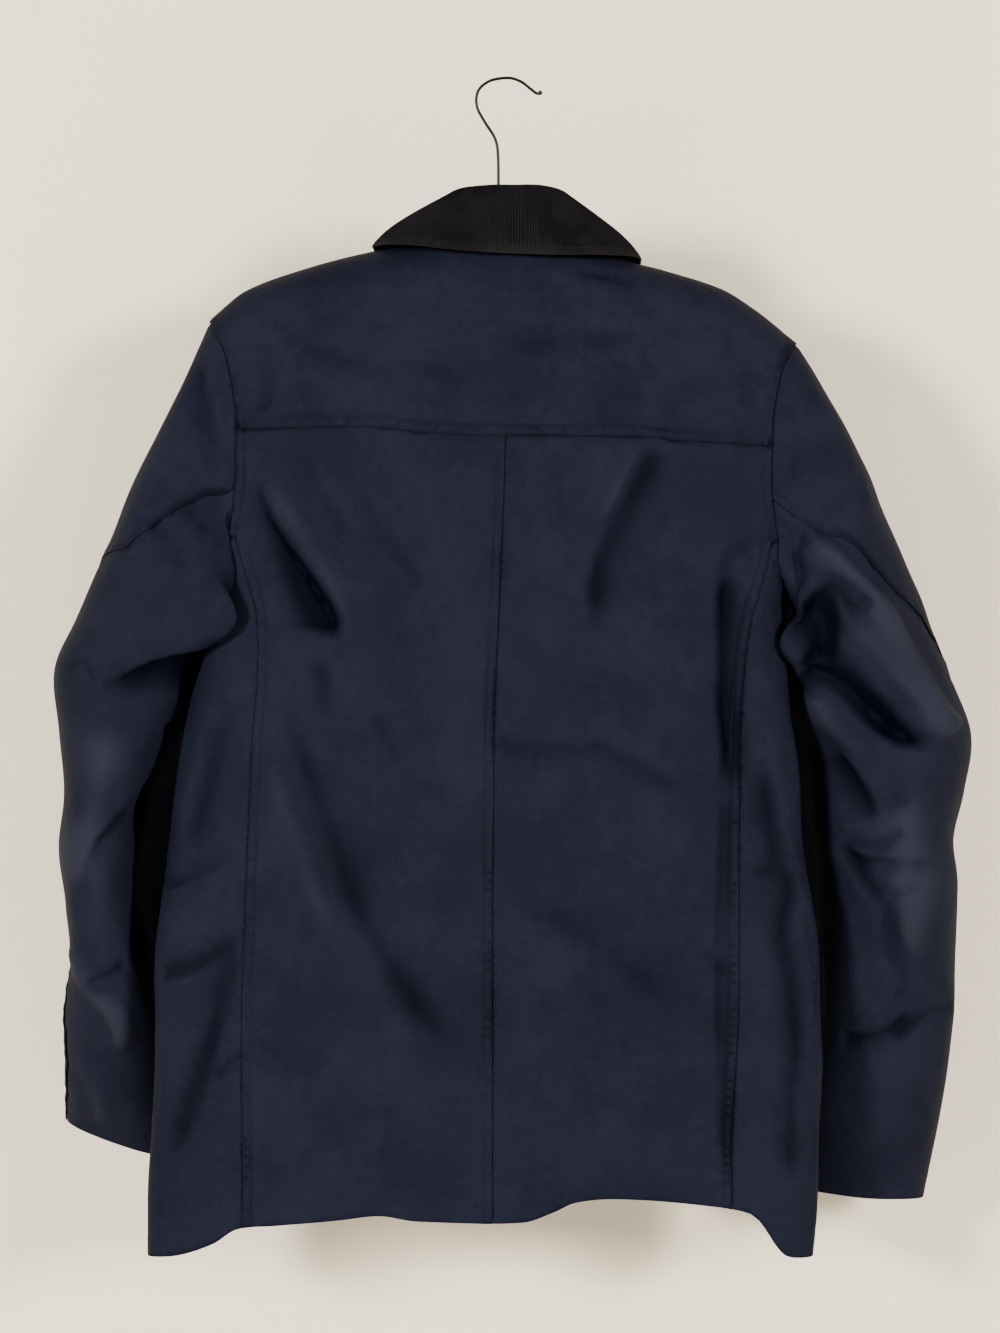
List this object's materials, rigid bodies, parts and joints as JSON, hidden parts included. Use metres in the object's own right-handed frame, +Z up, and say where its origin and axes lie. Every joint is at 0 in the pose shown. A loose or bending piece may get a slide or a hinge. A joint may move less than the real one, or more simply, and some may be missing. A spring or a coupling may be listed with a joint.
{
  "type": "waxed cotton jacket on hanger",
  "caption": "Hip-length waxed cotton jacket with corduroy collar, two-piece sleeves and patch pockets, hung open at neck, hem and cuffs on a wire-hooked hanger.",
  "frame": {"origin": "inner top of the hanger's hook, where a rail carries it", "axes": "+Z up, -Y out of the jacket's back, +Y out of its front, +X towards the wearer's right side"},
  "size_m": [0.7203, 0.1868, 0.9162],
  "materials": {
    "waxed_cotton": "satin",
    "corduroy": "matte",
    "dull_metal": "satin",
    "chromed_wire": "polished",
    "dark_wood": "satin"
  },
  "bodies": {
    "root": {"back_yoke": "waxed_cotton", "back_left": "waxed_cotton", "back_right": "waxed_cotton", "side_left": "waxed_cotton", "side_right": "waxed_cotton", "front_left": "waxed_cotton", "front_right": "waxed_cotton", "front_placket": "waxed_cotton", "sleeve_upper_left": "waxed_cotton", "sleeve_upper_right": "waxed_cotton", "sleeve_under_left": "waxed_cotton", "sleeve_under_right": "waxed_cotton", "pocket_left": "waxed_cotton", "pocket_right": "waxed_cotton", "pocket_flap_left": "waxed_cotton", "pocket_flap_right": "waxed_cotton", "collar_fall": "corduroy", "collar_stand": "corduroy", "press_stud_1": "dull_metal", "press_stud_2": "dull_metal", "press_stud_3": "dull_metal", "press_stud_4": "dull_metal", "press_stud_5": "dull_metal", "hanger_hook": "chromed_wire", "hanger_bar": "dark_wood"}
  },
  "joints": []
}
